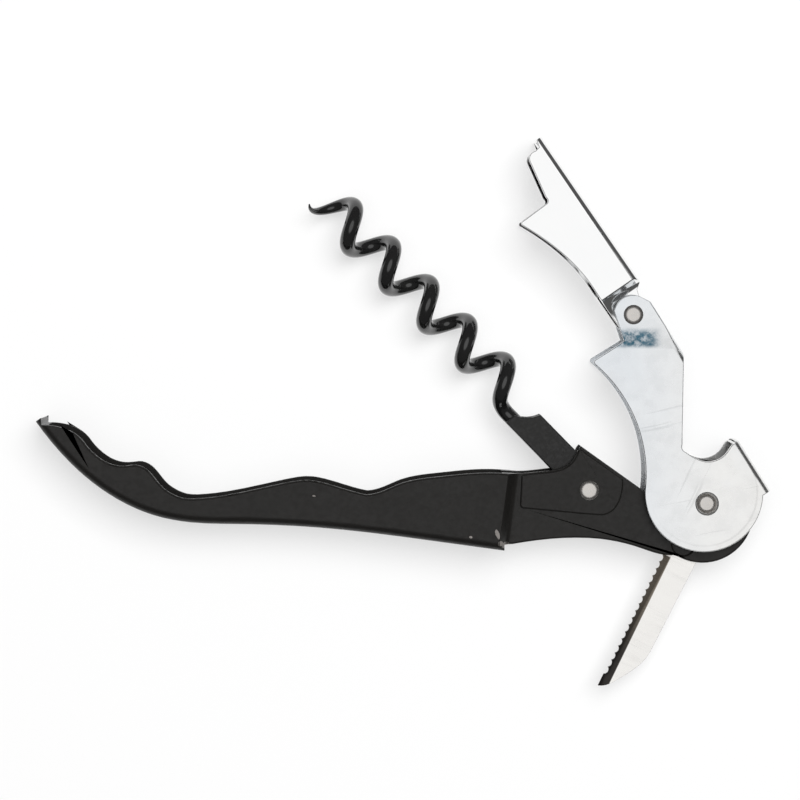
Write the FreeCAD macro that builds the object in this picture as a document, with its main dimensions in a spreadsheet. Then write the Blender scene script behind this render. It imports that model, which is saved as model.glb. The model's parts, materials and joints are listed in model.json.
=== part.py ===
"""Lever corkscrew with a two-step lever, a folding worm and a folding blade.

The tool lies on one side: +Z points up out of the other side, +X runs from the grip to the
hinge end, and the origin is on the lever rivet's axis, level with the side that it lies on.
"""

import FreeCAD
import Part

import math
import os

from FreeCAD import Placement, Rotation, Vector

doc = FreeCAD.newDocument("corkscrew")

# ---------------------------------------------------------------- driving sizes, in mm

sizes = {
    # across the tool
    "body_width": 12.5,      # over the outer sides of grip, lever and arm
    "handle_sheet": 1.0,
    "lever_sheet": 1.0,
    "arm_sheet": 1.0,
    "cheek_gap": 1.3,        # lever cheek to neck wall
    "pad_proud": 0.4,        # pressed pad above the neck wall
    "lug_step": 0.5,         # lever lugs pressed inwards
    "side_gap": 0.1,         # between flat sides that turn on each other
    "pin_gap": 0.05,         # radial, between a rivet and its holes
    "seat_gap": 0.05,        # between a spacer or wire and what holds it
    # handle
    "grip_length": 77.3,
    "neck_length": 33.3,
    "riser_run": 1.8,
    "riser_lean": 7.5,       # degrees
    "neck_end_radius": 8.4,
    "neck_end_drop": 1.55,
    "slot_width": 3.0,
    "grip_bend": 1.5,
    "pip_radius": 1.8,
    "pip_depth": 0.6,
    # rivets
    "pin_radius": 1.2,
    "head_radius": 1.6,
    "dimple_depth": 1.0,
    "lever_head": 0.6,
    "arm_head": 0.4,
    "worm_head": 0.4,
    "spacer_radius": 2.4,
    # lever
    "lever_reach": 32.8,     # along the lever's back, from its rivet to the arm's
    "arm_pin_drop": 6.4,     # arm rivet from the lever rivet, across the lever
    "back_drop": 9.95,       # lever's back from the lever rivet
    "lever_bend": 1.0,
    "disc_radius": 9.75,
    "lug_radius": 3.2,
    "sole_length": 5.8,
    "lever_angle": 122.4,    # degrees
    # arm
    "arm_length": 32.7,
    "arm_back": 4.02,        # arm's back from its rivet
    "arm_bend": 1.1,
    "arm_half_width": 3.05,
    "arm_foot": 6.65,
    "ear_radius": 2.7,
    "arm_angle": 124.5,      # degrees
    # worm
    "worm_pivot_x": 19.3,
    "worm_pivot_y": 2.1,
    "wire_radius": 1.3,
    "coil_radius": 2.8,
    "coil_pitch": 9.03,
    "coil_turns": 5.0,
    "coil_start": 20.95,     # worm rivet to the first turn
    "coil_offset": 2.4,      # coil's axis from the worm rivet
    "clip_width": 5.8,
    "clip_length": 17.4,
    "clip_fold": 1.4,
    "wire_stop": 2.7,
    "tip_radius": 0.2,
    "taper_turns": 0.6,
    "worm_angle": 134.4,     # degrees
    # blade
    "blade_thickness": 1.2,
    "blade_length": 35.3,
    "edge_drop": 2.48,       # cutting edge from the rivet's axis
    "spine_rise": 3.2,
    "tang_radius": 4.2,
    "tooth_pitch": 1.3,
    "tooth_radius": 0.75,
    "tooth_depth": 0.5,
    "tooth_count": 17.0,
    "teeth_start": 11.6,
    "bevel_width": 1.5,
    "edge_thickness": 0.3,
    "blade_angle": 244.2,    # degrees
}

sheet = doc.addObject("Spreadsheet::Sheet", "Sizes")
for row, (name, value) in enumerate(sizes.items(), start=1):
    sheet.set("A%d" % row, name)
    sheet.set("B%d" % row, str(value))
    sheet.setAlias("B%d" % row, name)
doc.recompute()


def size(name):
    return float(sheet.get(name))


# ---------------------------------------------------------------- sizes that follow

middle = size("body_width") / 2
lever_inner = middle - size("lever_sheet")
neck_half = lever_inner - size("cheek_gap")
neck_inner = neck_half - size("handle_sheet")
grip_inner = middle - size("handle_sheet")
lug_half = middle - size("lug_step")
lug_inner = lug_half - size("lever_sheet")
arm_end_half = lug_inner - size("side_gap")
arm_end_inner = arm_end_half - size("arm_sheet")
clip_half = neck_inner - size("side_gap")
hole_radius = size("pin_radius") + size("pin_gap")
beyond = 3 * size("body_width")   # further than any piece that a cut goes through
proud = 1.0                       # how far a cut starts outside the face that it enters

middle_rule = "Sizes.body_width / 2"
lever_inner_rule = middle_rule + " - Sizes.lever_sheet"
neck_half_rule = lever_inner_rule + " - Sizes.cheek_gap"
neck_inner_rule = neck_half_rule + " - Sizes.handle_sheet"
lug_inner_rule = lever_inner_rule + " - Sizes.lug_step"
arm_end_inner_rule = lug_inner_rule + " - Sizes.side_gap - Sizes.arm_sheet"
clip_half_rule = neck_inner_rule + " - Sizes.side_gap"

worm_pivot = Vector(-size("worm_pivot_x"), size("worm_pivot_y"), 0)


def turned(x, y, angle):
    """A point of a frame that is turned by an angle in degrees."""
    cosine = math.cos(math.radians(angle))
    sine = math.sin(math.radians(angle))
    return Vector(x * cosine - y * sine, x * sine + y * cosine, 0)


arm_pivot = turned(size("lever_reach"), -size("arm_pin_drop"), size("lever_angle"))


# ---------------------------------------------------------------- sketch helpers

def point(x, y):
    return Vector(x, y, 0)


def spline(points):
    curve = Part.BSplineCurve()
    curve.interpolate(points)
    return curve


def trace(start, *legs):
    """Join legs into one closed outline: a point is a line, (via, end) an arc, a list a spline."""
    edges = []
    here = start
    for leg in legs:
        if isinstance(leg, list):
            edges.append(spline([here] + leg))
            here = leg[-1]
        elif isinstance(leg, tuple):
            edges.append(Part.Arc(here, leg[0], leg[1]))
            here = leg[1]
        else:
            edges.append(Part.LineSegment(here, leg))
            here = leg
    if (here - start).Length > 1e-6:
        edges.append(Part.LineSegment(here, start))
    return edges


def inset(points, distance):
    """Move the points of an open line to its left by a distance."""
    moved = []
    last = len(points) - 1
    for index, here in enumerate(points):
        before = points[max(index - 1, 0)]
        after = points[min(index + 1, last)]
        along = (after - before).normalize()
        moved.append(here + Vector(-along.y, along.x, 0) * distance)
    return moved


def round_corner(centre, radius, angle):
    return centre + turned(radius, 0, angle)


# ---------------------------------------------------------------- body helpers

def new_body(label):
    body = doc.addObject("PartDesign::Body", label)
    body.Label = label
    return body


def new_sketch(body, name, edges, level=None, role="XY_Plane", turn=0.0):
    sketch = body.newObject("Sketcher::SketchObject", name)
    plane = [item for item in body.Origin.OriginFeatures if item.Role == role][0]
    sketch.AttachmentSupport = [(plane, "")]
    sketch.MapMode = "FlatFace"
    sketch.AttachmentOffset = Placement(Vector(), Rotation(Vector(0, 1, 0), turn))
    if level:
        sketch.setExpression(".AttachmentOffset.Base.z", level)
    sketch.addGeometry(edges, False)
    return sketch


def pad(body, name, edges, level, length):
    feature = body.newObject("PartDesign::Pad", name)
    feature.Profile = new_sketch(body, name + "_outline", edges, level)
    feature.setExpression("Length", length)
    doc.recompute()
    return feature


def pocket(body, name, edges, level, length):
    """Cut downwards by a length from a level."""
    before = body.Shape.Volume
    feature = body.newObject("PartDesign::Pocket", name)
    feature.Profile = new_sketch(body, name + "_outline", edges, level)
    feature.setExpression("Length", length)
    doc.recompute()
    if body.Shape.Volume > before - 1e-4:
        raise RuntimeError(name + " cuts nothing")
    return feature


def side_cut(body, name, edges, role, turn=0.0):
    """Cut along a line in the plane of the tool, both ways from the sketch."""
    before = body.Shape.Volume
    feature = body.newObject("PartDesign::Pocket", name)
    feature.Profile = new_sketch(body, name + "_section", edges, None, role, turn)
    feature.Midplane = True
    feature.Length = 8 * beyond
    doc.recompute()
    if body.Shape.Volume > before - 1e-4:
        raise RuntimeError(name + " cuts nothing")
    return feature


def turned_feature(body, kind, name, edges):
    """Turn a section in the XZ plane about the body's own Z axis."""
    before = body.Shape.Volume
    feature = body.newObject("PartDesign::" + kind, name)
    sketch = new_sketch(body, name + "_section", edges, None, "XZ_Plane")
    feature.Profile = sketch
    feature.ReferenceAxis = (sketch, ["V_Axis"])
    feature.Angle = 360.0
    doc.recompute()
    if abs(body.Shape.Volume - before) < 1e-4:
        raise RuntimeError(name + " changes nothing")
    return feature


def fillet(body, name, radius, picked):
    """Round the edges of the body's last feature that the test picks."""
    base = body.Tip
    names = ["Edge%d" % (index + 1) for index, edge in enumerate(base.Shape.Edges) if picked(edge)]
    feature = body.newObject("PartDesign::Fillet", name)
    feature.Base = (base, names)
    feature.setExpression("Radius", radius)
    doc.recompute()
    return feature


def at_side(edge):
    """True for an edge that lies in one outer side of a full-width block."""
    levels = [edge.valueAt(edge.FirstParameter).z, edge.valueAt(edge.LastParameter).z]
    low = all(abs(level) < 1e-4 for level in levels)
    high = all(abs(level - size("body_width")) < 1e-4 for level in levels)
    return low or high


def mid_point(edge):
    return edge.valueAt((edge.FirstParameter + edge.LastParameter) / 2)


def both_sides(section):
    """A section in (across, level) and its mirror image on the far side."""
    near = [point(x, middle + z) for x, z in section]
    far = [point(x, middle - z) for x, z in section]
    return trace(*near) + trace(*far)


def bores(body, name, centres):
    circles = [Part.Circle(centre, Vector(0, 0, 1), hole_radius) for centre in centres]
    return pocket(body, name, circles, "Sizes.body_width * 2", "Sizes.body_width * 3")


# ---------------------------------------------------------------- handle

def grip_point(share, y):
    """A point of the grip, by its share of the length from the neck to the tip."""
    return point(-size("neck_length") - share * size("grip_length"), y)


def handle_lines():
    """The handle's lower line from tip to neck, the neck's, and the upper line back."""
    grip_low = [
        grip_point(1.0, 13.5), grip_point(0.955, 9.05), grip_point(0.886, 3.85),
        grip_point(0.819, 0.35), grip_point(0.750, -1.95), grip_point(0.683, -3.05),
        grip_point(0.564, -3.45), grip_point(0.393, -4.05), grip_point(0.189, -5.85),
        grip_point(0.0, -7.85),
    ]
    root = -size("neck_length")
    neck_low = [
        point(root + 1.3, -6.85), point(root + 7.0, -6.05), point(root + 11.7, -5.8),
        point(root + 16.4, -6.05), point(root + 22.1, -7.35), point(root + 25.5, -8.45),
    ]
    upper = [
        grip_point(0.950, 16.0), grip_point(0.918, 13.4),
        grip_point(0.898, 10.4), grip_point(0.864, 7.6), grip_point(0.841, 6.6),
        grip_point(0.811, 6.25), grip_point(0.784, 6.4), grip_point(0.757, 5.3),
        grip_point(0.730, 2.8), grip_point(0.709, 1.64), grip_point(0.686, 0.95),
        grip_point(0.658, 0.85), grip_point(0.567, 1.8), grip_point(0.462, 3.55),
        grip_point(0.427, 3.9), grip_point(0.371, 3.15), grip_point(0.294, 1.5),
    ]
    upper_root = [
        grip_point(0.257, 2.2), grip_point(0.224, 3.3), grip_point(0.189, 4.0),
        grip_point(0.138, 4.5), grip_point(0.061, 5.05), grip_point(0.0, 5.0),
    ]
    return grip_low, neck_low, upper, upper_root


def pad_corners():
    """Corners of the neck's upper edge beside the worm rivet."""
    peak = worm_pivot + point(-1.4, 7.25)
    shoulder = worm_pivot + point(5.9, 2.05)
    return peak, shoulder


def make_handle():
    body = new_body("handle_shell")
    grip_low, neck_low, upper, upper_root = handle_lines()
    peak, shoulder = pad_corners()
    end_radius = size("neck_end_radius")
    end = point(-0.5, -size("neck_end_drop"))
    slope = (shoulder - peak).normalize()
    waist = shoulder + slope * 4.6
    low_start = round_corner(end, end_radius, -122)
    root = grip_low[-1].x
    saddle = [worm_pivot + point(-11.2, 2.8), worm_pivot + point(-7.0, 3.2),
              worm_pivot + point(-3.3, 4.4), worm_pivot + point(-2.2, 6.0), peak]
    grip = trace(
        grip_low[0], grip_low[1:], upper_root[-1],
        upper_root[-2::-1] + [upper[-1]], upper[-2::-1])
    pad(body, "grip_block", grip, None, "Sizes.body_width")
    fillet(body, "grip_bends", "Sizes.grip_bend",
           lambda edge: at_side(edge) and edge.Length > 0.8 * size("grip_length")
           and mid_point(edge).y < 0)
    high = upper[0].y + 2 * proud
    rim = [grip_point(0.957, 12.8), grip_point(0.930, 12.2), upper[2]]
    tip = trace(
        grip_point(0.987, 12.95), rim, point(rim[-1].x, high), grip_point(0.987, high))
    pocket(body, "tip_rim", tip, "Sizes.body_width * 2", "Sizes.body_width * 3")
    neck = trace(
        neck_low[0], neck_low[1:] + [low_start],
        (round_corner(end, end_radius, -20), round_corner(end, end_radius, 90)),
        (round_corner(end, end_radius, 130), round_corner(end, end_radius, 165)),
        waist, shoulder, peak, saddle[-2::-1] + [upper_root[-1]],
        point(root, neck_low[0].y))
    pad(body, "neck_block", neck, None, "Sizes.body_width")

    # the neck is pressed narrower than the grip, with a sloping riser between them
    riser = -size("neck_length") * math.cos(math.radians(size("riser_lean")))
    waist_cut = [
        (riser - 0.1 * proud, middle + 0.1 * proud), (riser + size("riser_run"), neck_half),
        (beyond, neck_half), (beyond, middle + 0.1 * proud)]
    side_cut(body, "neck_sides", both_sides(waist_cut), "XZ_Plane", -size("riser_lean"))

    # inside of the grip, down to its floor
    sheet_metal = size("handle_sheet")
    wall_end = grip_low[-1].x - 0.4
    floor = inset(grip_low, sheet_metal)
    floor = [here for here in floor if here.x < wall_end - sheet_metal] + [
        point(wall_end, grip_low[-1].y + sheet_metal)]
    pocket(body, "grip_channel",
           trace(point(floor[0].x, high), floor[0], floor[1:], point(wall_end, high)),
           "Sizes.body_width - Sizes.handle_sheet", "Sizes.body_width - 2 * Sizes.handle_sheet")

    # inside of the neck, left open along its upper edge
    neck_floor = inset(neck_low, sheet_metal)
    inner_end = end_radius - sheet_metal
    neck_room = trace(
        point(wall_end - proud, grip_low[-1].y + sheet_metal + 0.6), neck_floor[0],
        neck_floor[1:] + [round_corner(end, inner_end, -122)],
        (round_corner(end, inner_end, -40), round_corner(end, inner_end, 30)),
        round_corner(end, end_radius + 2 * proud, 40), point(end_radius, high),
        point(wall_end - proud, high))
    level = "Sizes.body_width / 2 + (%s)" % neck_inner_rule
    pocket(body, "neck_channel", neck_room, level, "2 * (%s)" % neck_inner_rule)

    # the blade's slot along the neck's spine and round its end
    slot_top = max(here.y for here in neck_low) + sheet_metal + 0.3
    slot_end = -size("blade_length") - 0.4
    slot_radius = inner_end - proud
    turn_off = math.degrees(math.asin((slot_top - end.y) / slot_radius))
    lip = round_corner(end, end_radius + proud, 45)
    slot = trace(
        point(slot_end, -beyond), point(slot_end, slot_top),
        round_corner(end, slot_radius, turn_off),
        (round_corner(end, slot_radius, 10), round_corner(end, slot_radius, 45)),
        lip, point(beyond, lip.y), point(beyond, -beyond))
    pocket(body, "blade_slot", slot, "(Sizes.body_width + Sizes.slot_width) / 2",
           "Sizes.slot_width")

    # a pad pressed outwards round the worm rivet, on both walls
    pad_edge = trace(
        peak + point(-0.1, -0.35), shoulder + point(-0.3, -0.15),
        [worm_pivot + point(5.3, -1.0), worm_pivot + point(4.0, -3.3),
         worm_pivot + point(2.2, -4.15)],
        worm_pivot + point(-0.7, -3.95), worm_pivot + point(-10.7, -3.0),
        (worm_pivot + point(-11.25, -2.8), worm_pivot + point(-11.4, -2.3)),
        worm_pivot + point(-11.2, 2.2),
        (worm_pivot + point(-11.1, 2.5), worm_pivot + point(-10.8, 2.6)),
        [worm_pivot + point(-7.0, 3.0), worm_pivot + point(-3.4, 4.1),
         worm_pivot + point(-2.1, 5.7), peak + point(-0.35, -0.5)])
    pad(body, "near_pad", pad_edge, "Sizes.body_width / 2 + " + neck_half_rule, "Sizes.pad_proud")
    pad(body, "far_pad", pad_edge,
        "Sizes.body_width / 2 - (%s) - Sizes.pad_proud" % neck_half_rule, "Sizes.pad_proud")

    # a round pip pressed into each neck wall below the lever rivet
    pip = Part.Circle(point(-3.7, -6.9), Vector(0, 0, 1), size("pip_radius"))
    pocket(body, "near_pip", [pip], "Sizes.body_width / 2 + " + neck_half_rule, "Sizes.pip_depth")
    pocket(body, "far_pip", [pip],
           "Sizes.body_width / 2 - (%s) + Sizes.pip_depth" % neck_half_rule,
           "Sizes.pip_depth + Sizes.side_gap")
    bores(body, "rivet_holes", [point(0, 0), worm_pivot])
    return body


# ---------------------------------------------------------------- lever

def make_lever():
    body = new_body("lever")
    disc = point(1.79, -0.54)
    radius = size("disc_radius")
    back = -size("back_drop")
    pin = point(size("lever_reach"), -size("arm_pin_drop"))
    sole = pin.x - 2.9
    toe = point(sole, pin.y + 3.6 + size("sole_length"))
    heel = point(sole, pin.y + 3.6)
    tab_low = -3.8
    tab_high = 6.0
    lug = size("lug_radius")
    foot_low = disc + turned(radius, 0, math.degrees(math.acos((tab_low - disc.x) / radius)) * -1)
    outline = trace(
        point(tab_low, back), point(pin.x + 0.2, back), pin + turned(lug, 0, -52),
        (pin + turned(lug, 0, 0), pin + turned(lug, 0, 48)),
        heel + point(0.1, 0), heel, toe,
        (toe + point(-0.25, 0.3), toe + point(-0.75, 0.3)),
        [point(0.79 * sole, 2.3), point(0.55 * sole, 2.95), point(0.42 * sole, 4.3),
         disc + turned(radius, 0, 56)],
        (disc + turned(radius, 0, 170), foot_low))
    pad(body, "lever_block", outline, None, "Sizes.body_width")
    fillet(body, "back_bends", "Sizes.lever_bend",
           lambda edge: at_side(edge) and abs(mid_point(edge).y - back) < 1e-4)

    # the lugs are pressed inwards, down a slope that runs along the tool
    lean = 90 - size("lever_angle")
    slope_top = arm_pivot.y - 2.0
    slope_foot = slope_top - 3.6
    lug_cut = [
        (slope_foot - 0.1 * proud, middle + 0.014 * proud), (slope_top, lug_half),
        (2 * beyond, lug_half), (2 * beyond, middle + 0.014 * proud)]
    side_cut(body, "lug_sides", both_sides(lug_cut), "XZ_Plane", lean)

    # room between the cheeks, narrow at the lugs and wide below them
    inner_back = back + size("lever_sheet")
    back_top = pin.x + 0.2
    pocket(body, "lug_room",
           trace(point(-beyond, inner_back), point(back_top, inner_back),
                 point(back_top, back - proud), point(2 * beyond, back - proud),
                 point(2 * beyond, beyond), point(-beyond, beyond)),
           "%s + (%s)" % (middle_rule, lug_inner_rule), "2 * (%s)" % lug_inner_rule)
    cosine = math.cos(math.radians(lean))
    sine = math.sin(math.radians(lean))
    low_corner = point((slope_foot - inner_back * sine) / cosine, inner_back)
    high_corner = point((slope_foot - beyond * sine) / cosine, beyond)
    pocket(body, "cheek_room",
           trace(point(-beyond, inner_back), low_corner, high_corner, point(-beyond, beyond)),
           "%s + (%s)" % (middle_rule, lever_inner_rule), "2 * (%s)" % lever_inner_rule)

    # mouth for a crown cap, cut through both cheeks and the back
    mouth = trace(
        point(22.9, back), point(10.4, -1.75), (point(9.75, -1.4), point(9.1, -1.6)),
        [point(7.4, -2.4), point(5.85, -3.75), point(5.2, -5.6), point(5.45, -7.3)],
        point(tab_high, -8.6), point(tab_high, back - proud), point(22.9, back - proud))
    pocket(body, "cap_mouth", mouth, "Sizes.body_width * 2", "Sizes.body_width * 3")

    # dimples that the lever rivet's heads sit in
    depth = size("dimple_depth")
    floor = middle - depth
    boss = [(0, floor - size("lever_sheet")), (2.3, floor - size("lever_sheet")),
            (2.9, lever_inner + 0.05), (0, lever_inner + 0.05)]
    turned_feature(body, "Revolution", "dimple_backs", both_sides(boss))
    dish_radius = size("head_radius") + 0.05
    dish = [(0, floor), (dish_radius, floor), (dish_radius, middle - 0.3),
            (dish_radius + 0.2, middle + 0.01), (0, middle + 0.01)]
    turned_feature(body, "Groove", "dimples", both_sides(dish))
    bores(body, "lever_holes", [point(0, 0), pin])
    body.Placement = Placement(Vector(), Rotation(Vector(0, 0, 1), size("lever_angle")))
    return body


# ---------------------------------------------------------------- arm

def make_arm():
    body = new_body("arm")
    length = size("arm_length")
    back = -size("arm_back")
    half = size("arm_half_width")
    foot = size("arm_foot")
    ear = size("ear_radius")
    ear_centre = point(0, half - ear)
    web_end = 3.8
    outline = trace(
        point(length, back), point(web_end, back), point(3.0, -2.9),
        ear_centre + turned(ear, 0, -70),
        (ear_centre + turned(ear, 0, 180), ear_centre + turned(ear, 0, 90)),
        point(0.2 * length, half),
        [point(0.292 * length, half + 0.05), point(0.41 * length, half + 0.6),
         point(0.546 * length, half + 1.85), point(0.68 * length, foot + 0.05)],
        (point(0.695 * length, foot + 0.15), point(0.702 * length, foot - 0.4)),
        point(0.707 * length, 1.65), (point(0.712 * length, 1.15), point(0.733 * length, 1.03)),
        point(0.925 * length, -0.1),
        (point(0.955 * length, -0.75), point(0.957 * length, -1.9)),
        point(0.962 * length, -2.7), point(length, -3.0))
    pad(body, "arm_block", outline, None, "Sizes.body_width")
    fillet(body, "back_bends", "Sizes.arm_bend",
           lambda edge: at_side(edge) and abs(mid_point(edge).y - back) < 1e-4)
    end_cut = [
        (-beyond, arm_end_half), (3.55, arm_end_half), (4.95, middle + 0.1 * proud),
        (-beyond, middle + 0.1 * proud)]
    side_cut(body, "ear_sides", both_sides(end_cut), "XZ_Plane")
    inner_back = back + size("arm_sheet")
    pocket(body, "ear_room",
           trace(point(-beyond, back - proud), point(web_end, back - proud),
                 point(web_end, inner_back), point(beyond, inner_back),
                 point(beyond, beyond), point(-beyond, beyond)),
           "%s + (%s)" % (middle_rule, arm_end_inner_rule), "2 * (%s)" % arm_end_inner_rule)
    pocket(body, "arm_room",
           trace(point(5.4, inner_back), point(beyond, inner_back), point(beyond, beyond),
                 point(5.4, beyond)),
           "%s - Sizes.arm_sheet + %s" % (middle_rule, middle_rule),
           "2 * (%s - Sizes.arm_sheet)" % middle_rule)
    bores(body, "arm_holes", [point(0, 0)])
    body.Placement = Placement(arm_pivot, Rotation(Vector(0, 0, 1), size("arm_angle")))
    return body


# ---------------------------------------------------------------- worm

def make_worm():
    """The wire: a straight shank, a bend, a right-handed coil and a tapered point."""
    feature = doc.addObject("Part::Feature", "worm_wire")
    feature.Label = "worm_wire"
    coil = size("coil_radius")
    rise = size("coil_pitch") / (2 * math.pi)
    wire = size("wire_radius")
    taper_turns = size("taper_turns")
    start_angle = 150.0
    axis = Vector(1, 0, 0)
    outwards = Vector(0, -math.cos(math.radians(start_angle)), math.sin(math.radians(start_angle)))
    onwards = axis.cross(outwards)
    centre = Vector(size("coil_start"), -size("coil_offset"), middle)
    frame = Placement(centre, Rotation(outwards, onwards, axis, "ZXY"))
    turns = size("coil_turns") - taper_turns
    full = Part.makeHelix(size("coil_pitch"), turns * size("coil_pitch"), coil)
    full.Placement = frame

    # bend from the coil's first turn into the shank, which lies in the middle plane
    joint = centre + outwards * coil
    leaving = (axis * rise + onwards * coil).normalize() * -1
    shank = axis * -1
    half_turn = math.acos(leaving.dot(shank)) / 2
    reach = -(joint.z - middle) / leaving.z
    corner = joint + leaving * reach
    shank_start = corner + shank * reach
    bend_radius = reach / math.tan(half_turn)
    heart = corner + (leaving * -1 + shank).normalize() * (bend_radius / math.cos(half_turn))
    via = heart + (corner - heart).normalize() * bend_radius
    bend = Part.Arc(shank_start, via, joint).toShape()
    wire_stop = Vector(size("wire_stop"), shank_start.y, middle)
    straight = Part.makeLine(wire_stop, shank_start)

    path = Part.Wire([straight, bend] + full.Edges)
    section = Part.Wire(Part.makeCircle(wire, wire_stop, axis))
    round_wire = path.makePipeShell([section], True, False)

    # the last half turn thins to a point
    last_turn = Part.makeHelix(size("coil_pitch"), taper_turns * size("coil_pitch"), coil)
    last_turn.Placement = frame.multiply(Placement(
        Vector(0, 0, turns * size("coil_pitch")), Rotation(Vector(0, 0, 1), turns * 360)))
    curve = last_turn.Edges[0]
    taper = Part.BRepOffsetAPI.MakePipeShell(Part.Wire([curve]))
    taper.setFrenetMode(True)
    for radius, where in ((wire, curve.FirstParameter), (size("tip_radius"), curve.LastParameter)):
        circle = Part.makeCircle(radius, curve.valueAt(where), curve.tangentAt(where))
        taper.add(Part.Wire(circle))
    taper.build()
    taper.makeSolid()
    feature.Shape = round_wire.fuse(taper.shape())
    feature.Placement = Placement(worm_pivot, Rotation(Vector(0, 0, 1), size("worm_angle")))
    return feature


def make_clip():
    body = new_body("worm_clip")
    back = -(size("clip_width") / 2 + 0.1)
    front = size("clip_width") / 2 - 0.9
    length = size("clip_length")
    outline = trace(
        point(0, back), point(length - 2.9, back),
        (point(length - 1.8, -1.1), point(length, 0.1)), point(length + 0.2, front),
        point(0, front), (turned(size("clip_width") / 2, 0, 180), point(0, back)))
    pad(body, "clip_block", outline, "%s - (%s)" % (middle_rule, clip_half_rule),
        "2 * (%s)" % clip_half_rule)
    room = "Sizes.wire_radius + Sizes.seat_gap"
    inner_back = back + size("clip_fold")
    pocket(body, "clip_room",
           trace(point(size("wire_stop") - 0.5, inner_back), point(beyond, inner_back),
                 point(beyond, beyond), point(size("wire_stop") - 0.5, beyond)),
           "%s + %s" % (middle_rule, room), "2 * (%s)" % room)
    bores(body, "clip_hole", [point(0, 0)])
    body.Placement = Placement(worm_pivot, Rotation(Vector(0, 0, 1), size("worm_angle")))
    return body


# ---------------------------------------------------------------- blade

def make_blade():
    body = new_body("blade")
    length = size("blade_length")
    edge = -size("edge_drop")
    spine = size("spine_rise")
    tang = size("tang_radius")
    outline = trace(
        point(0, -tang), point(8.0, -tang), (point(9.3, -tang + 0.35), point(10.0, edge)),
        point(length, edge),
        [point(length - 0.5, edge + 0.95), point(length - 1.8, edge + 2.15),
         point(length - 3.7, edge + 3.4), point(length - 6.7, spine - 0.75),
         point(length - 9.0, spine - 0.3)],
        point(4.5, spine + 0.15), [point(2.0, tang - 0.35), point(0, tang)],
        (point(-tang, 0), point(0, -tang)))
    half = "Sizes.blade_thickness / 2"
    pad(body, "blade_blank", outline, "%s - %s" % (middle_rule, half), "Sizes.blade_thickness")

    # bevel along the cutting edge, on both sides
    before = body.Shape.Volume
    bevel = body.newObject("PartDesign::Pocket", "bevels")
    thin = size("edge_thickness") / 2
    width = size("bevel_width")
    thick = size("blade_thickness") / 2
    section = [(edge - proud, thin), (edge, thin), (edge + width, thick + 0.001),
               (edge + width, thick + proud), (edge - proud, thick + proud)]
    sketch = new_sketch(body, "bevel_section", both_sides(section),
                        "Sizes.teeth_start - 0.8", "YZ_Plane")
    bevel.Profile = sketch
    bevel.Reversed = True
    bevel.Length = 2 * beyond
    doc.recompute()
    if body.Shape.Volume > before - 1e-4:
        raise RuntimeError("the bevels cut nothing")

    # a row of small round teeth
    tooth = point(size("teeth_start"), edge - size("tooth_radius") + size("tooth_depth"))
    gullet = pocket(body, "gullet", [Part.Circle(tooth, Vector(0, 0, 1), size("tooth_radius"))],
                    "Sizes.body_width", "Sizes.body_width")
    row = body.newObject("PartDesign::LinearPattern", "gullets")
    row.Originals = [gullet]
    row.Direction = (gullet.Profile[0], ["H_Axis"])
    row.setExpression("Length", "Sizes.tooth_pitch * (Sizes.tooth_count - 1)")
    row.setExpression("Occurrences", "Sizes.tooth_count")
    body.Tip = row
    doc.recompute()
    bores(body, "blade_hole", [point(0, 0)])
    body.Placement = Placement(Vector(), Rotation(Vector(0, 0, 1), size("blade_angle")))
    return body


# ---------------------------------------------------------------- rivets and spacers

def cylinder(name, centre, radius, low, height):
    piece = doc.addObject("Part::Cylinder", name)
    piece.Placement = Placement(centre, Rotation())
    piece.setExpression("Radius", radius)
    piece.setExpression("Height", height)
    piece.setExpression(".Placement.Base.z", low)
    return piece


def make_rivet(label, centre, seat, far_head, near_head):
    """A pin across the tool with a head on each side, seated at a distance from the middle."""
    pin = cylinder(label + "_pin", centre, "Sizes.pin_radius",
                   "%s - (%s)" % (middle_rule, seat), "2 * (%s)" % seat)
    far = cylinder(label + "_far_head", centre, "Sizes.head_radius",
                   "%s - (%s) - (%s)" % (middle_rule, seat, far_head), far_head)
    near = cylinder(label + "_near_head", centre, "Sizes.head_radius",
                    "%s + %s" % (middle_rule, seat), near_head)
    rivet = doc.addObject("Part::MultiFuse", label)
    rivet.Label = label
    rivet.Shapes = [pin, far, near]
    return rivet


def make_spacer(label, low):
    height = neck_inner_rule + " - Sizes.blade_thickness / 2 - 2 * Sizes.seat_gap"
    tube = cylinder(label + "_tube", Vector(), "Sizes.spacer_radius", low, height)
    hole = cylinder(label + "_hole", Vector(), "Sizes.pin_radius + Sizes.pin_gap", low, height)
    spacer = doc.addObject("Part::Cut", label)
    spacer.Label = label
    spacer.Base = tube
    spacer.Tool = hole
    return spacer


# ---------------------------------------------------------------- the tool

blade_top = middle_rule + " + Sizes.blade_thickness / 2 + Sizes.seat_gap"
wall_inside = middle_rule + " - (%s) + Sizes.seat_gap" % neck_inner_rule
nodes = [
    make_handle(),
    make_lever(),
    make_arm(),
    make_worm(),
    make_clip(),
    make_blade(),
    make_rivet("lever_rivet", Vector(), middle_rule + " - Sizes.dimple_depth",
               "Sizes.dimple_depth", "Sizes.lever_head"),
    make_rivet("arm_rivet", arm_pivot, middle_rule + " - Sizes.lug_step",
               "Sizes.arm_head", "Sizes.arm_head"),
    make_rivet("worm_rivet", worm_pivot, neck_half_rule + " + Sizes.pad_proud",
               "Sizes.worm_head", "Sizes.worm_head"),
    make_spacer("blade_spacer_near", blade_top),
    make_spacer("blade_spacer_far", wall_inside),
]
doc.recompute()

for item in doc.Objects:
    if "Invalid" in item.State or "Error" in item.State:
        raise RuntimeError("%s failed: %s" % (item.Name, item.State))
for node in nodes:
    if node.Shape.isNull() or not node.Shape.isValid() or len(node.Shape.Solids) != 1:
        raise RuntimeError("%s is not one valid solid" % node.Label)

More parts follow.
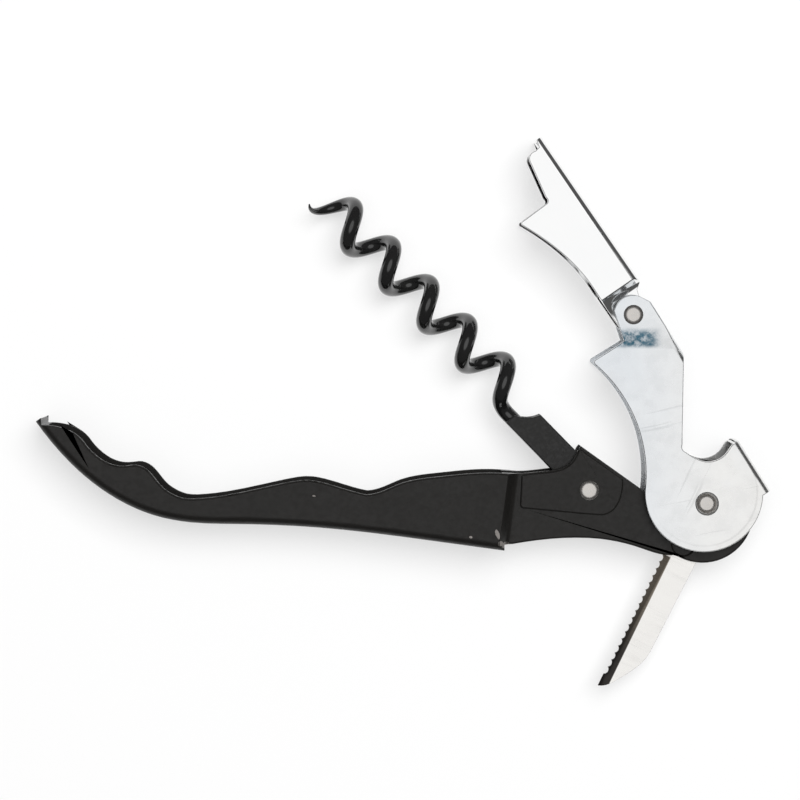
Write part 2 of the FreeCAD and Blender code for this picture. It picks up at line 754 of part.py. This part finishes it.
os.makedirs("parts", exist_ok=True)
for node in nodes:
    node.Shape.exportStep("parts/%s.step" % node.Label)
    print("%-18s %9.2f mm3" % (node.Label, node.Shape.Volume))
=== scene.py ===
import json
import math

import bmesh
import bpy
from mathutils import Matrix, Vector, noise


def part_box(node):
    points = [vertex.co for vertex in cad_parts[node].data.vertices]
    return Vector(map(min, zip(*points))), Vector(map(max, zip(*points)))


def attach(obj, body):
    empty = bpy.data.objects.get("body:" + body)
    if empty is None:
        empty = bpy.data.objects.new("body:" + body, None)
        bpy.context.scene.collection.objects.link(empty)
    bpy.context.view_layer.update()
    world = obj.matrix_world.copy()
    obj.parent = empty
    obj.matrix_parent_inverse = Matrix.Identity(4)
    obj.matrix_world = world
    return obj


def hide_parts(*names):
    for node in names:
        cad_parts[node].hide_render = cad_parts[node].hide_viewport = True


mm = 0.001
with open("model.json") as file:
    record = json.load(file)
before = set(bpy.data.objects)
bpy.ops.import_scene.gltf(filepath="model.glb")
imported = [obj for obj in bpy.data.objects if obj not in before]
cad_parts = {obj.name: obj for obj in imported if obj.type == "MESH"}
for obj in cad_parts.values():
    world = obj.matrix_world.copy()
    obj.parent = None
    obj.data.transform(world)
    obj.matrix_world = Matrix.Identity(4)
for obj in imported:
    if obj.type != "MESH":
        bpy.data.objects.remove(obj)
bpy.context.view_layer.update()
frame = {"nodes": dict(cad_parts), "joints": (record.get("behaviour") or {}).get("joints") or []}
joints = {joint["name"]: joint for joint in frame["joints"]}
leverPivot = Vector(joints["lever_hinge"]["pos_m"])
armPivot = Vector(joints["arm_hinge"]["pos_m"])
wormPivot = Vector(joints["worm_hinge"]["pos_m"])
middle = leverPivot.z
width = 2 * middle
print("frame loaded")


# node trees

def newMaterial(name):
    material = bpy.data.materials.new(name)
    material.use_nodes = True
    tree = material.node_tree
    tree.nodes.clear()
    output = tree.nodes.new("ShaderNodeOutputMaterial")
    shader = tree.nodes.new("ShaderNodeBsdfPrincipled")
    tree.links.new(shader.outputs[0], output.inputs["Surface"])
    return material, tree, shader


def addNode(tree, kind, inputs=None, **settings):
    node = tree.nodes.new(kind)
    for key, value in settings.items():
        setattr(node, key, value)
    for key, value in (inputs or {}).items():
        if isinstance(value, bpy.types.NodeSocket):
            tree.links.new(value, node.inputs[key])
        else:
            node.inputs[key].default_value = value
    return node


# Object coordinates about a centre, turned about Z and stretched
def placeOf(tree, centre=(0, 0, 0), turn=0.0, stretch=(1, 1, 1)):
    coordinate = addNode(tree, "ShaderNodeTexCoord").outputs["Object"]
    moved = addNode(tree, "ShaderNodeVectorMath", {0: coordinate, 1: Vector(centre)},
                    operation="SUBTRACT").outputs[0]
    turned = addNode(tree, "ShaderNodeVectorRotate", {"Vector": moved, "Angle": -turn},
                     rotation_type="Z_AXIS").outputs[0]
    return addNode(tree, "ShaderNodeVectorMath", {0: turned, 1: Vector(stretch)},
                   operation="MULTIPLY").outputs[0]


def noiseAt(tree, place, scale, detail=4.0, roughness=0.55):
    return addNode(tree, "ShaderNodeTexNoise", {
        "Vector": place, "Scale": scale, "Detail": detail, "Roughness": roughness}).outputs["Fac"]


def remap(tree, value, low, high, toLow=0.0, toHigh=1.0):
    return addNode(tree, "ShaderNodeMapRange", {
        "Value": value, "From Min": low, "From Max": high, "To Min": toLow, "To Max": toHigh},
        interpolation_type="SMOOTHSTEP").outputs["Result"]


def combine(tree, kind, first, second):
    return addNode(tree, "ShaderNodeMath", {0: first, 1: second},
                   operation=kind, use_clamp=True).outputs[0]


def blendColor(tree, factor, first, second):
    node = addNode(tree, "ShaderNodeMix", data_type="RGBA")
    for socket, value in ((node.inputs[0], factor), (node.inputs[6], first), (node.inputs[7], second)):
        if isinstance(value, bpy.types.NodeSocket):
            tree.links.new(value, socket)
        else:
            socket.default_value = value
    return node.outputs[2]


def lengthOf(tree, place):
    return addNode(tree, "ShaderNodeVectorMath", {0: place}, operation="LENGTH").outputs["Value"]


# 1 inside an oval spot, 0 outside, with a ragged rim
def spot(tree, centre, radii, turn=0.0, ragged=0.35):
    place = placeOf(tree, centre, turn, [1 / radius for radius in radii])
    rough = noiseAt(tree, placeOf(tree), 2500, 5.0)
    reach = combine(tree, "MULTIPLY", rough, ragged * 2)
    distance = addNode(tree, "ShaderNodeMath", {0: lengthOf(tree, place), 1: reach},
                       operation="ADD").outputs[0]
    return remap(tree, distance, 1.0 + ragged, 0.85 + ragged)


def bumpOf(tree, shader, height, distance, strength=1.0, under=None):
    inputs = {"Height": height, "Distance": distance, "Strength": strength}
    if under:
        inputs["Normal"] = under
    normal = addNode(tree, "ShaderNodeBump", inputs).outputs[0]
    tree.links.new(normal, shader.inputs["Normal"])
    return normal


def gray(level):
    return (level, level, level, 1)


# materials

coat = {
    "black": (0.0085, 0.008, 0.0073, 1),
    "worn": (0.30, 0.28, 0.265, 1),
    "roughness": (0.30, 0.44),
    "grain": 1400,
    "bareSpots": [  # centre, radii and turn of each worn place, in mm and degrees
        ((-34.5, -5.0, 12.3), (0.35, 0.9, 0.8), 20),
        ((-34.0, -6.6, 12.0), (0.5, 0.45, 1.0), 0),
        ((-33.2, -6.9, 10.5), (0.8, 0.6, 2.2), 0),
        ((-38.9, -5.5, 12.5), (0.28, 0.2, 0.4), 0),
        ((-64.7, 1.3, 12.5), (0.3, 0.16, 0.5), -10),
        ((-47.0, -6.6, 11.9), (0.3, 0.14, 0.5), 0),
    ],
}


def makeHandleCoat():
    material, tree, shader = newMaterial("handleCoat")
    place = placeOf(tree)
    grain = noiseAt(tree, place, coat["grain"], 6.0, 0.6)
    cloud = noiseAt(tree, place, 90, 3.0)
    worn = None
    for centre, radii, turn in coat["bareSpots"]:
        mask = spot(tree, Vector(centre) * mm, Vector(radii) * mm, math.radians(turn))
        worn = mask if worn is None else combine(tree, "MAXIMUM", worn, mask)
    tint = blendColor(tree, cloud, coat["black"], (0.012, 0.0112, 0.0104, 1))
    color = blendColor(tree, worn, tint, coat["worn"])
    tree.links.new(color, shader.inputs["Base Color"])
    tree.links.new(worn, shader.inputs["Metallic"])
    rough = remap(tree, grain, 0.3, 0.7, *coat["roughness"])
    tree.links.new(rough, shader.inputs["Roughness"])
    shader.inputs["Specular IOR Level"].default_value = 0.3
    height = combine(tree, "SUBTRACT", grain, worn)
    bumpOf(tree, shader, height, 0.012 * mm, 0.5)
    return material


def makeClipCoat():
    material, tree, shader = newMaterial("clipCoat")
    place = placeOf(tree)
    grain = noiseAt(tree, place, 1900, 6.0, 0.7)
    dull = remap(tree, grain, 0.35, 0.7, 0.45, 0.68)
    color = blendColor(tree, remap(tree, grain, 0.55, 0.75), (0.014, 0.0138, 0.0135, 1),
                       (0.032, 0.031, 0.03, 1))
    tree.links.new(color, shader.inputs["Base Color"])
    tree.links.new(dull, shader.inputs["Roughness"])
    bumpOf(tree, shader, grain, 0.04 * mm, 0.8)
    return material


def makeWormCoat():
    material, tree, shader = newMaterial("wormCoat")
    place = placeOf(tree)
    wave = noiseAt(tree, place, 260, 3.0)
    pits = noiseAt(tree, place, 1500, 4.0, 0.6)
    tree.links.new(remap(tree, pits, 0.45, 0.8, 0.1, 0.34), shader.inputs["Roughness"])
    color = blendColor(tree, wave, (0.006, 0.006, 0.0062, 1), (0.012, 0.0118, 0.0115, 1))
    tree.links.new(color, shader.inputs["Base Color"])
    shader.inputs["Coat Weight"].default_value = 0.6
    shader.inputs["Coat Roughness"].default_value = 0.06
    bumpOf(tree, shader, wave, 0.12 * mm, 0.35)
    return material


plate = {
    "lever": (0.84, 0.85, 0.855, 1),
    "warm": (0.87, 0.865, 0.85, 1),
    "cool": (0.77, 0.80, 0.83, 1),
    # painted reflection: teal colour for the pressed slope, standing in for the dark blue surroundings
    # it reflects
    "reflectedTeal": (0.06, 0.15, 0.21, 1),
    "arm": (0.93, 0.93, 0.925, 1),
    "discCentre": (-0.52, 1.80),     # of the lever's round end, in mm
    "rollRadius": 8.75,
    "slopeFoot": (25.4, 29.0),       # the pressed slope, between these heights
}


# fine scratches in a few directions, from stretched noise
def scratches(tree, angles, scale=700):
    total = None
    for index, angle in enumerate(angles):
        place = placeOf(tree, (0.013 * index, 0, 0), math.radians(angle), (0.06, 1, 0.06))
        line = remap(tree, noiseAt(tree, place, scale, 3.0, 0.7), 0.66, 0.72)
        total = line if total is None else combine(tree, "MAXIMUM", total, line)
    return total


def makeLeverPlate():
    material, tree, shader = newMaterial("leverPlate")
    place = placeOf(tree)
    parts = addNode(tree, "ShaderNodeSeparateXYZ", {0: place}).outputs
    shade = remap(tree, parts[0], -16 * mm, 4 * mm)
    base = blendColor(tree, shade, plate["cool"], plate["warm"])
    cloud = noiseAt(tree, place, 130, 4.0)
    base = blendColor(tree, remap(tree, cloud, 0.35, 0.7, 0, 0.5), base, plate["lever"])
    # painted reflection: a speckled teal band on the pressed slope, next to the outer face and on the
    # left part only, stands in for the dark blue surroundings the slope reflects
    low, high = plate["slopeFoot"]
    into = remap(tree, parts[1], low * mm, (low + 0.9) * mm)
    out = remap(tree, parts[1], (high + 0.2) * mm, (high - 1.2) * mm)
    outer = remap(tree, parts[2], width - 0.62 * mm, width - 0.5 * mm)
    speckle = remap(tree, noiseAt(tree, place, 1100, 6.0, 0.75), 0.36, 0.6, 0.35, 1.0)
    leftOnly = remap(tree, parts[0], -7.2 * mm, -9.4 * mm)
    reflectionBand = combine(tree, "MULTIPLY", combine(tree, "MULTIPLY", into, out), outer)
    reflectionBand = combine(tree, "MULTIPLY", combine(tree, "MULTIPLY", reflectionBand, speckle), leftOnly)
    base = blendColor(tree, reflectionBand, base, plate["reflectedTeal"])
    tree.links.new(base, shader.inputs["Base Color"])
    shader.inputs["Metallic"].default_value = 1.0
    scratch = combine(tree, "MULTIPLY", scratches(tree, (12, 64, 118)), 0.35)
    dull = remap(tree, noiseAt(tree, place, 420, 5.0), 0.3, 0.75, 0.24, 0.30)
    tree.links.new(combine(tree, "ADD", dull, combine(tree, "MULTIPLY", scratch, 0.2)),
                   shader.inputs["Roughness"])
    flat = placeOf(tree, (plate["discCentre"][0] * mm, plate["discCentre"][1] * mm, 0), 0, (1, 1, 0))
    ring = lengthOf(tree, flat)
    roll = plate["rollRadius"] * mm
    rise = remap(tree, ring, roll - 0.25 * mm, roll + 0.25 * mm, 1, 0)
    onDisc = remap(tree, parts[1], 7.5 * mm, 3.0 * mm)
    step = combine(tree, "MULTIPLY", rise, onDisc)
    soft = bumpOf(tree, shader, step, 0.05 * mm, 0.6)
    fine = bumpOf(tree, shader, noiseAt(tree, place, 260, 5.0, 0.6), 0.012 * mm, 0.35, soft)
    bumpOf(tree, shader, scratch, -0.006 * mm, 0.8, fine)
    return material


def makeArmPlate():
    material, tree, shader = newMaterial("armPlate")
    place = placeOf(tree)
    cloud = noiseAt(tree, place, 160, 3.0)
    color = blendColor(tree, cloud, plate["arm"], (0.88, 0.885, 0.89, 1))
    tree.links.new(color, shader.inputs["Base Color"])
    shader.inputs["Metallic"].default_value = 1.0
    scratch = scratches(tree, (32, 100))
    tree.links.new(combine(tree, "ADD", combine(tree, "MULTIPLY", scratch, 0.2), 0.05),
                   shader.inputs["Roughness"])
    bumpOf(tree, shader, noiseAt(tree, place, 190, 3.0), 0.03 * mm, 0.25)
    return material


def makeRivetSteel():
    material, tree, shader = newMaterial("rivetSteel")
    place = placeOf(tree)
    grain = noiseAt(tree, place, 2600, 6.0, 0.7)
    color = blendColor(tree, remap(tree, grain, 0.35, 0.7), (0.62, 0.59, 0.56, 1),
                       (0.80, 0.775, 0.75, 1))
    tree.links.new(color, shader.inputs["Base Color"])
    shader.inputs["Metallic"].default_value = 1.0
    tree.links.new(remap(tree, grain, 0.3, 0.7, 0.24, 0.4), shader.inputs["Roughness"])
    bumpOf(tree, shader, grain, 0.015 * mm, 0.5)
    return material


def makeBladeSteel():
    material, tree, shader = newMaterial("bladeSteel")
    along = math.radians(244.2)
    streak = noiseAt(tree, placeOf(tree, (0, 0, 0), along, (1, 0.05, 0.3)), 2600, 4.0, 0.6)
    cloud = noiseAt(tree, placeOf(tree), 200, 3.0)
    color = blendColor(tree, remap(tree, streak, 0.3, 0.7), (0.84, 0.825, 0.80, 1),
                       (0.89, 0.875, 0.85, 1))
    parts = addNode(tree, "ShaderNodeSeparateXYZ", {0: placeOf(tree, (0, 0, 0), along)}).outputs
    # past the ground line the blade is coloured brown, darkening to near black towards its tip
    ground = combine(tree, "MULTIPLY", remap(tree, parts[1], -0.85 * mm, -1.0 * mm),
                     remap(tree, parts[0], 10.4 * mm, 11.0 * mm))
    tipDarkening = blendColor(tree, remap(tree, parts[0], 14 * mm, 30 * mm), (0.22, 0.19, 0.155, 1),
                      (0.035, 0.032, 0.03, 1))
    color = blendColor(tree, ground, color, tipDarkening)
    tree.links.new(color, shader.inputs["Base Color"])
    shader.inputs["Metallic"].default_value = 1.0
    rough = combine(tree, "ADD", remap(tree, streak, 0.3, 0.7, 0.12, 0.24),
                    combine(tree, "MULTIPLY", cloud, 0.1))
    tree.links.new(rough, shader.inputs["Roughness"])
    bumpOf(tree, shader, streak, 0.008 * mm, 0.6)
    return material


handleCoat = makeHandleCoat()
clipCoat = makeClipCoat()
wormCoat = makeWormCoat()
leverPlate = makeLeverPlate()
armPlate = makeArmPlate()
rivetSteel = makeRivetSteel()
bladeSteel = makeBladeSteel()
print("materials made")


# pieces

def place(piece, body, slot, material, *nodes):
    bpy.context.scene.collection.objects.link(piece)
    piece.data.materials.clear()
    piece.data.materials.append(material)
    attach(piece, body)
    if nodes:
        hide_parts(*nodes)
    return piece


# the result of a piece's modifiers, as a plain mesh
def settle(piece):
    bpy.context.scene.collection.objects.link(piece)
    graph = bpy.context.evaluated_depsgraph_get()
    graph.update()
    mesh = bpy.data.meshes.new_from_object(piece.evaluated_get(graph))
    name = piece.name
    bpy.data.objects.remove(piece)
    return bpy.data.objects.new(name, mesh)


# a copy of a CAD piece whose sharp edges are rounded, each by its own width in mm
def roundedCopy(node, name, widthOf, segments=3, reshape=None):
    mesh = frame["nodes"][node].data.copy()
    grid = bmesh.new()
    grid.from_mesh(mesh)
    bmesh.ops.remove_doubles(grid, verts=grid.verts, dist=1e-7)
    bmesh.ops.dissolve_limit(grid, angle_limit=math.radians(0.5), verts=grid.verts,
                             edges=grid.edges)
    if reshape:
        reshape(grid)
    widest = 1.0
    weight = grid.edges.layers.float.new("bevel_weight_edge")
    for edge in grid.edges:
        turn = edge.calc_face_angle(0)
        if edge.is_convex and turn > math.radians(28):
            centre = (edge.verts[0].co + edge.verts[1].co) / 2 / mm
            edge[weight] = widthOf(centre, edge) / widest
        edge.smooth = edge.is_convex or turn < math.radians(28)
    grid.to_mesh(mesh)
    grid.free()
    mesh.polygons.foreach_set("use_smooth", [True] * len(mesh.polygons))
    piece = bpy.data.objects.new(name, mesh)
    bevel = piece.modifiers.new("edges", "BEVEL")
    bevel.limit_method = "WEIGHT"
    bevel.width = widest * mm
    bevel.segments = segments
    bevel.use_clamp_overlap = False
    bevel.loop_slide = False
    normals = piece.modifiers.new("normals", "WEIGHTED_NORMAL")
    normals.keep_sharp = True
    normals.weight = 100
    piece = settle(piece)
    low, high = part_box(node)
    for vertex in piece.data.vertices:
        vertex.co = [min(max(*pair), top) for *pair, top in zip(vertex.co, low, high)]
    return piece


def outerEdge(edge, centre):
    level = centre.z
    return abs(level - width / mm) < 0.06 or abs(level) < 0.06


# handle
handleLook = {"rim": 0.42, "padRim": 0.3, "neckRim": 0.35, "inside": 0.1, "neckHalf": 3.95}


def handleEdge(centre, edge):
    half = abs(centre.z - middle / mm)
    if centre.x < -104 or -36.5 < centre.x < -33.2 and centre.y < 0:
        return handleLook["inside"]
    if half > 6.2:
        return handleLook["rim"]
    if abs(half - handleLook["neckHalf"] - 0.4) < 0.03:
        return handleLook["padRim"]
    if abs(half - handleLook["neckHalf"]) < 0.03:
        besidePad = -31.5 < centre.x < -12.5 and centre.y > 0.5
        return handleLook["inside"] if besidePad else handleLook["neckRim"]
    return handleLook["inside"]


handle = place(roundedCopy("handle_shell", "handle", handleEdge), "handle", "handle_coat",
               handleCoat, "handle_shell")
print("handle done")


# lever
def leverEdge(centre, edge):
    if outerEdge(edge, centre):
        return 0.16
    return 0.1


lever = place(roundedCopy("lever", "leverSheet", leverEdge), "lever_body", "lever_plate",
              leverPlate, "lever")
print("lever done")


# arm
arm = place(roundedCopy("arm", "armSheet", leverEdge), "arm_body", "arm_plate", armPlate, "arm")
print("arm done")

# worm
wire = {
    "radius": 1.3, "tip": 0.12, "coil": 2.8, "pitch": 9.03, "start": 20.95, "offset": 2.4,
    "turns": 5.0, "startAngle": 150.0, "stop": 2.7, "angle": 134.4, "taper": 0.72,
    "perTurn": 64, "sides": 40,
}


def wirePath():
    rise = wire["pitch"] / (2 * math.pi)
    start = math.radians(wire["startAngle"])
    outwards = Vector((0, -math.cos(start), math.sin(start)))
    axis = Vector((1, 0, 0))
    onwards = axis.cross(outwards)
    centre = Vector((wire["start"], -wire["offset"], 0))
    joint = centre + outwards * wire["coil"]
    leaving = -(axis * rise + onwards * wire["coil"]).normalized()
    shank = -axis
    half = math.acos(leaving.dot(shank)) / 2
    reach = -joint.z / leaving.z
    corner = joint + leaving * reach
    shankStart = corner + shank * reach
    bendRadius = reach / math.tan(half)
    heart = corner + (shank - leaving).normalized() * (bendRadius / math.cos(half))
    points = [(Vector((wire["stop"], shankStart.y, 0)), wire["radius"])]
    for step in range(1, 12):
        share = step / 12
        points.append((points[0][0].lerp(shankStart, share), wire["radius"]))
    for step in range(13):
        spoke = (shankStart - heart).slerp(joint - heart, step / 12)
        points.append((heart + spoke.normalized() * bendRadius, wire["radius"]))
    steps = int(wire["turns"] * wire["perTurn"])
    for step in range(1, steps + 1):
        turn = step / wire["perTurn"]
        angle = turn * 2 * math.pi
        spoke = outwards * math.cos(angle) + onwards * math.sin(angle)
        left = (wire["turns"] - turn) / wire["taper"]
        share = min(max(left, 0.0), 1.0)
        radius = wire["tip"] + (wire["radius"] - wire["tip"]) * math.sin(share * math.pi / 2) ** 0.9
        points.append((centre + spoke * wire["coil"] + axis * rise * angle, radius))
    return points


def wireTree():
    tree = bpy.data.node_groups.new("taperedWire", "GeometryNodeTree")
    tree.interface.new_socket("Geometry", in_out="INPUT", socket_type="NodeSocketGeometry")
    tree.interface.new_socket("Sides", in_out="INPUT", socket_type="NodeSocketInt")
    tree.interface.new_socket("Material", in_out="INPUT", socket_type="NodeSocketMaterial")
    tree.interface.new_socket("Geometry", in_out="OUTPUT", socket_type="NodeSocketGeometry")
    inlet = tree.nodes.new("NodeGroupInput").outputs
    radius = addNode(tree, "GeometryNodeInputNamedAttribute", {"Name": "wireRadius"},
                     data_type="FLOAT").outputs[0]
    curve = addNode(tree, "GeometryNodeMeshToCurve", {0: inlet["Geometry"]}).outputs[0]
    circle = addNode(tree, "GeometryNodeCurvePrimitiveCircle", {
        "Resolution": inlet["Sides"], "Radius": 1.0}).outputs[0]
    tube = addNode(tree, "GeometryNodeCurveToMesh", {
        "Curve": curve, "Profile Curve": circle, "Scale": radius, "Fill Caps": True}).outputs[0]
    real = addNode(tree, "GeometryNodeRealizeInstances", {0: tube}).outputs[0]
    smooth = addNode(tree, "GeometryNodeSetShadeSmooth", {0: real}).outputs[0]
    dressed = addNode(tree, "GeometryNodeSetMaterial", {
        "Geometry": smooth, "Material": inlet["Material"]}).outputs[0]
    addNode(tree, "NodeGroupOutput", {0: dressed})
    return tree


def setInput(modifier, name, value):
    for item in modifier.node_group.interface.items_tree:
        if item.in_out == "INPUT" and item.name == name:
            modifier[item.identifier] = value


def makeWorm():
    turn = Matrix.Translation(wormPivot) @ Matrix.Rotation(math.radians(wire["angle"]), 4, "Z")
    points = wirePath()
    mesh = bpy.data.meshes.new("wirePath")
    mesh.from_pydata([turn @ (spot * mm) for spot, radius in points],
                     [(index, index + 1) for index in range(len(points) - 1)], [])
    radii = mesh.attributes.new("wireRadius", "FLOAT", "POINT")
    radii.data.foreach_set("value", [radius * mm for spot, radius in points])
    piece = bpy.data.objects.new("wormWire", mesh)
    nodes = piece.modifiers.new("wire", "NODES")
    nodes.node_group = wireTree()
    setInput(nodes, "Sides", wire["sides"])
    setInput(nodes, "Material", wormCoat)
    return place(settle(piece), "worm_body", "worm_coat", wormCoat, "worm_wire")


makeWorm()


def clipEdge(centre, edge):
    return 0.22


clip = place(roundedCopy("worm_clip", "wormClip", clipEdge), "worm_body", "clip_coat", clipCoat,
             "worm_clip")
print("worm done")


# blade
def bladeEdge(centre, edge):
    return 0.04


blade = place(roundedCopy("blade", "bladeSheet", bladeEdge, 2), "blade_body", "blade_steel",
              bladeSteel, "blade")
print("blade done")


# rivets: each is a turned section, from its middle out to the head's crown
rivets = {
    "lever_rivet": {
        "name": "leverRivet", "body": "handle", "slot": "rivet_steel", "centre": leverPivot,
        "profile": [(1.2, 5.25), (1.6, 5.25), (1.6, 5.45), (1.5, 5.62), (1.24, 5.78),
                    (1.16, 5.84), (1.0, 5.85)],
        "far": [(1.2, 5.25), (1.6, 5.25), (1.6, 6.0), (1.5, 6.2), (1.35, 6.25)]},
    "arm_rivet": {
        "name": "armRivet", "body": "lever_body", "slot": "rivet_steel", "centre": armPivot,
        "profile": [(1.2, 5.75), (1.6, 5.75), (1.6, 5.9), (1.45, 6.02), (1.2, 6.1), (1.06, 6.14),
                    (0.95, 6.15)],
        "far": [(1.2, 5.75), (1.6, 5.75), (1.6, 5.95), (1.45, 6.1), (1.2, 6.15)]},
    "worm_rivet": {
        "name": "wormRivet", "body": "handle", "slot": "rivet_steel", "centre": wormPivot,
        "profile": [(1.2, 4.35), (1.6, 4.35), (1.6, 4.5), (1.45, 4.65), (1.15, 4.73), (1.0, 4.75)],
        "far": [(1.2, 4.35), (1.6, 4.35), (1.6, 4.5), (1.45, 4.65), (1.15, 4.73), (1.0, 4.75)]},
}


def makeRivet(node, look, sides=72):
    far = [(radius, -level) for radius, level in reversed(look["far"])]
    section = [(0.0, far[0][1])] + far + look["profile"] + [(0.0, look["profile"][-1][1])]
    grid = bmesh.new()
    chain = [grid.verts.new((radius * mm, 0, level * mm)) for radius, level in section]
    edges = [grid.edges.new(pair) for pair in zip(chain, chain[1:])]
    bmesh.ops.spin(grid, geom=chain + edges, axis=(0, 0, 1), cent=(0, 0, 0), steps=sides,
                   angle=2 * math.pi, use_merge=True)
    bmesh.ops.remove_doubles(grid, verts=grid.verts, dist=1e-7)
    bmesh.ops.recalc_face_normals(grid, faces=grid.faces)
    bmesh.ops.translate(grid, verts=grid.verts, vec=look["centre"])
    mesh = bpy.data.meshes.new(look["name"])
    grid.to_mesh(mesh)
    grid.free()
    mesh.polygons.foreach_set("use_smooth", [True] * len(mesh.polygons))
    mesh.set_sharp_from_angle(angle=math.radians(40))
    piece = bpy.data.objects.new(look["name"], mesh)
    return place(piece, look["body"], look["slot"], rivetSteel, node)


for node, look in rivets.items():
    makeRivet(node, look)
for node in ("blade_spacer_near", "blade_spacer_far"):
    spacer = frame["nodes"][node]
    spacer.data.materials.clear()
    spacer.data.materials.append(rivetSteel)
print("rivets done")


# studio
studio = {
    "tilt": 2.0,               # of the camera from straight above, towards +Y
    "distance": 0.56,
    "centre": (-50.55, 17.1),
    "view": 131.5,             # width of the view at the upper side of the tool, in mm
    "zenith": 1.05,
    "horizon": 0.09,
    "keyPower": 13.0,
    "fillPower": 1.5,
}


def makeCamera():
    tilt = math.radians(studio["tilt"])
    data = bpy.data.cameras.new("camera")
    camera = bpy.data.objects.new("camera", data)
    bpy.context.scene.collection.objects.link(camera)
    target = Vector((studio["centre"][0] * mm, studio["centre"][1] * mm, width))
    camera.location = target + Vector((0, math.sin(tilt), math.cos(tilt))) * studio["distance"]
    camera.rotation_euler = (-tilt, 0, 0)
    data.lens = data.sensor_width * studio["distance"] / (studio["view"] * mm)
    bpy.context.scene.camera = camera


def makeLamp(name, direction, distance, side, power):
    data = bpy.data.lights.new(name, "AREA")
    data.shape = "SQUARE"
    data.size = side
    data.energy = power
    lamp = bpy.data.objects.new(name, data)
    bpy.context.scene.collection.objects.link(lamp)
    away = Vector(direction).normalized()
    lamp.location = Vector((studio["centre"][0] * mm, studio["centre"][1] * mm, 0)) + away * distance
    lamp.rotation_euler = away.to_track_quat("Z", "Y").to_euler()
    lamp.visible_glossy = False


def seenDirectly(tree):
    path = addNode(tree, "ShaderNodeLightPath").outputs
    return combine(tree, "MAXIMUM", path["Is Camera Ray"], path["Is Transmission Ray"])


def makeWorld():
    world = bpy.data.worlds.new("studio")
    world.use_nodes = True
    tree = world.node_tree
    tree.nodes.clear()
    direction = addNode(tree, "ShaderNodeTexCoord").outputs["Generated"]
    parts = addNode(tree, "ShaderNodeSeparateXYZ", {0: direction}).outputs
    level = remap(tree, parts[2], 0.86, 0.95, studio["horizon"], studio["zenith"])
    light = addNode(tree, "ShaderNodeBackground", {"Strength": level, "Color": gray(1.0)})
    white = addNode(tree, "ShaderNodeBackground", {"Color": gray(1.0), "Strength": 1.0})
    mix = addNode(tree, "ShaderNodeMixShader", {
        0: seenDirectly(tree), 1: light.outputs[0], 2: white.outputs[0]})
    addNode(tree, "ShaderNodeOutputWorld", {"Surface": mix.outputs[0]})
    bpy.context.scene.world = world


def makeFloor():
    material, tree, shader = newMaterial("floorPaper")
    shader.inputs["Base Color"].default_value = gray(0.93)
    shader.inputs["Roughness"].default_value = 0.9
    glow = addNode(tree, "ShaderNodeEmission", {"Color": gray(1.0), "Strength": 1.0})
    path = addNode(tree, "ShaderNodeLightPath").outputs
    share = combine(tree, "MAXIMUM", combine(tree, "MULTIPLY", path["Is Camera Ray"], 0.6),
                    path["Is Glossy Ray"])
    mix = addNode(tree, "ShaderNodeMixShader", {0: share, 1: shader.outputs[0], 2: glow.outputs[0]})
    output = [node for node in tree.nodes if node.type == "OUTPUT_MATERIAL"][0]
    tree.links.new(mix.outputs[0], output.inputs["Surface"])
    mesh = bpy.data.meshes.new("floor")
    side = 3.0
    mesh.from_pydata([(-side, -side, -0.02 * mm), (side, -side, -0.02 * mm),
                      (side, side, -0.02 * mm), (-side, side, -0.02 * mm)], [], [(0, 1, 2, 3)])
    floor = bpy.data.objects.new("floor", mesh)
    floor.data.materials.append(material)
    bpy.context.scene.collection.objects.link(floor)


makeCamera()
makeWorld()
makeLamp("key", (0.2, 0.28, 0.94), 1.2, 0.7, studio["keyPower"])
makeLamp("fill", (-0.25, -0.1, 0.96), 1.3, 0.8, studio["fillPower"])
makeFloor()
bpy.context.scene.view_settings.view_transform = "Standard"
print("studio done")
